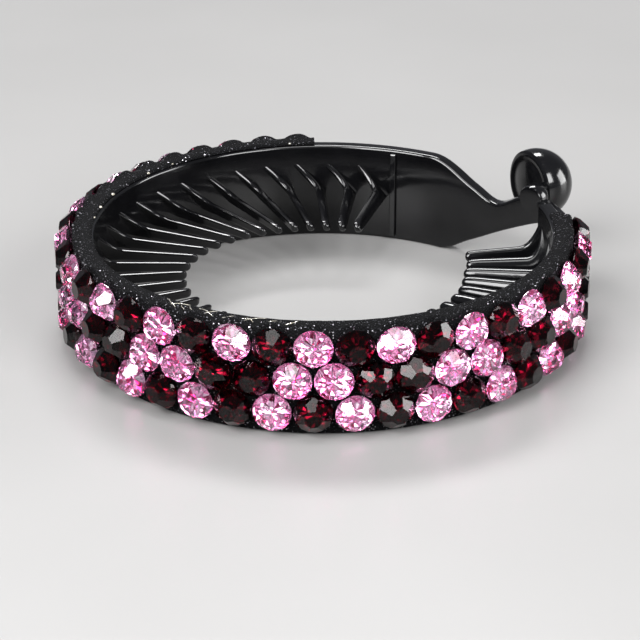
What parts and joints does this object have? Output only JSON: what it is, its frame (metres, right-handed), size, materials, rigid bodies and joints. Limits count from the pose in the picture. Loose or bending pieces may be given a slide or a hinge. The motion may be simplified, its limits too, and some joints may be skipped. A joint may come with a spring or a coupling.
{
  "type": "rhinestone bun ring clip",
  "caption": "Round hair clip: springy C-shaped ring with inward comb teeth, a band of faceted rhinestones on glitter fabric, and a hooked tongue with a domed thumb button.",
  "frame": {"origin": "on the ring's axis, level with the bottom edge that it stands on", "axes": "+Z along the ring's axis, up; the middle of the rhinestone band faces -Y; the catch and thumb button are towards +X and +Y"},
  "size_m": [0.075, 0.0749, 0.0176],
  "materials": {
    "black_plastic": "injection-moulded black plastic, glossy",
    "glue": "dried clear contact glue",
    "glitter_fabric": "black woven tape with fine metallic glitter",
    "pink_crystal": "rose pink faceted crystal, foil backed",
    "garnet_crystal": "dark red faceted crystal, foil backed"
  },
  "bodies": {
    "front": {"front_wall": "black_plastic", "front_glue_film": "glue", "front_fabric": "glitter_fabric", "front_top_row_pink_stones": "pink_crystal", "front_top_row_garnet_stones": "garnet_crystal", "front_middle_row_pink_stones": "pink_crystal", "front_middle_row_garnet_stones": "garnet_crystal", "front_bottom_row_pink_stones": "pink_crystal", "front_bottom_row_garnet_stones": "garnet_crystal", "front_teeth": "black_plastic", "catch_bead": "black_plastic"},
    "left": {"left_wall": "black_plastic", "left_glue_film": "glue", "left_fabric": "glitter_fabric", "left_top_row_pink_stones": "pink_crystal", "left_top_row_garnet_stones": "garnet_crystal", "left_middle_row_pink_stones": "pink_crystal", "left_middle_row_garnet_stones": "garnet_crystal", "left_bottom_row_pink_stones": "pink_crystal", "left_bottom_row_garnet_stones": "garnet_crystal", "left_teeth": "black_plastic"},
    "back": {"back_wall": "black_plastic", "back_glue_film": "glue", "back_fabric": "glitter_fabric", "back_top_row_pink_stones": "pink_crystal", "back_top_row_garnet_stones": "garnet_crystal", "back_middle_row_pink_stones": "pink_crystal", "back_middle_row_garnet_stones": "garnet_crystal", "back_bottom_row_pink_stones": "pink_crystal", "back_bottom_row_garnet_stones": "garnet_crystal", "back_teeth": "black_plastic"},
    "tail": {"tail_plate": "black_plastic", "tail_teeth": "black_plastic", "end_rib": "black_plastic"},
    "tongue": {"tongue": "black_plastic", "hook_bead": "black_plastic", "button_boss": "black_plastic", "thumb_button": "black_plastic"}
  },
  "joints": [
    {"name": "left_flex", "type": "hinge", "parent": "front", "child": "left", "pos_m": [-0.02861, -0.02475, 0.0073], "axis": [0, 0, 1], "range_deg": [0, 8]},
    {"name": "back_flex", "type": "hinge", "parent": "left", "child": "back", "pos_m": [-0.03349, 0.01759, 0.0073], "axis": [0, 0, 1], "range_deg": [0, 8]},
    {"name": "tail_flex", "type": "hinge", "parent": "back", "child": "tail", "pos_m": [-0.00115, 0.03781, 0.0073], "axis": [0, 0, 1], "range_deg": [0, 20], "stiffness_Nm_per_rad": 0.05},
    {"name": "tongue_flex", "type": "hinge", "parent": "tail", "child": "tongue", "pos_m": [0.02148, 0.027, 0.0073], "axis": [0, 0, 1], "range_deg": [0, 8], "stiffness_Nm_per_rad": 0.05}
  ],
  "couplings": [
    {"joint": "left_flex", "follows": "tail_flex", "ratio": 0.4},
    {"joint": "back_flex", "follows": "tail_flex", "ratio": 0.4}
  ]
}
